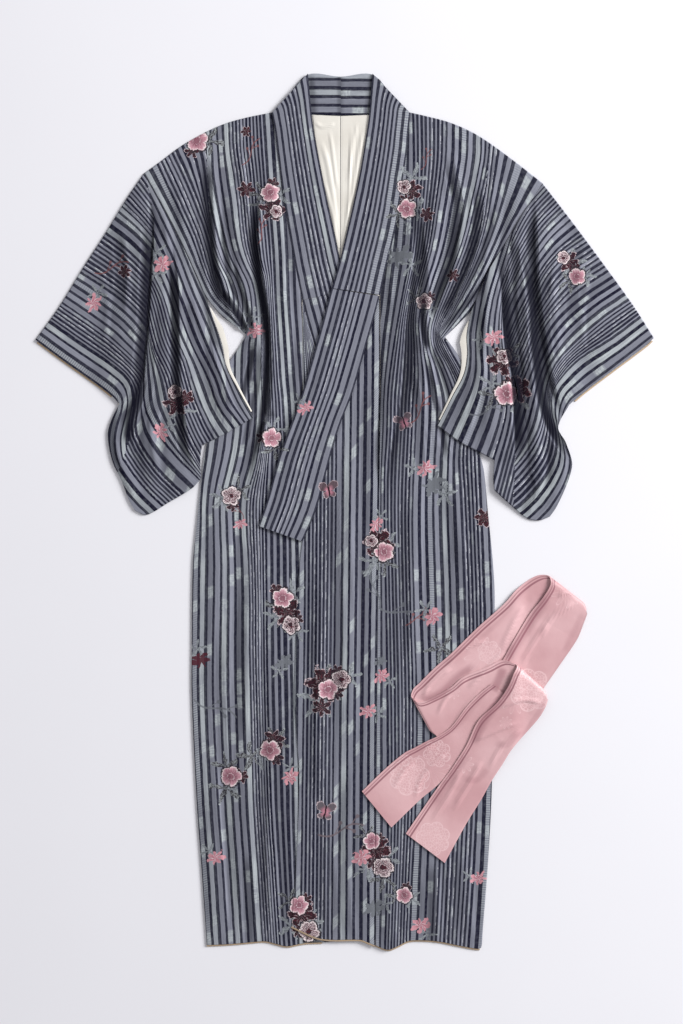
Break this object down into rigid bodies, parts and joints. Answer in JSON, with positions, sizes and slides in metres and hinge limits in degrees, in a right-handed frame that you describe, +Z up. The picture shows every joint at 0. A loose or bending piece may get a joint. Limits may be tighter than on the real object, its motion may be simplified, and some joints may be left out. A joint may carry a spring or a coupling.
{
  "type": "kimono robe with sash",
  "caption": "Lined kimono robe laid flat with its front up and the wearer's left front over the right, wide sleeves spread, and a narrow folded sash lying across the skirt.",
  "frame": {"origin": "The middle of the laid-out robe's bounding box, on the surface that it lies on.", "axes": "+Z is up, away from that surface. +Y runs along the robe from the hem to the collar. +X runs across it to the wearer's left sleeve, which is at the right when the front is seen from above."},
  "size_m": [1.1123, 1.5786, 0.0208],
  "materials": {
    "striped_crepe": "silk crepe with dark lengthwise stripes and scattered blossoms, low sheen",
    "cream_lining": "smooth plain silk lining, soft sheen",
    "tan_facing": "tan silk facing that shows as a thin edge at hem and cuffs",
    "pink_satin": "pink figured satin, soft gloss"
  },
  "bodies": {
    "root": {"body_right": "striped_crepe", "body_left": "striped_crepe", "overlap_left": "striped_crepe", "overlap_right": "striped_crepe", "sleeve_right": "striped_crepe", "sleeve_left": "striped_crepe", "over_collar_neck": "striped_crepe", "over_collar_right": "striped_crepe", "over_collar_left": "striped_crepe", "collar_right": "striped_crepe", "collar_left": "striped_crepe", "neck_lining_right": "cream_lining", "neck_lining_left": "cream_lining", "open_edge_lining_right": "cream_lining", "open_edge_lining_left": "cream_lining", "cuff_facing_right": "tan_facing", "cuff_facing_left": "tan_facing", "hem_facing_right": "tan_facing", "hem_facing_overlap": "tan_facing", "hem_facing_left": "tan_facing", "sash": "pink_satin", "sash_end": "pink_satin"}
  },
  "joints": []
}
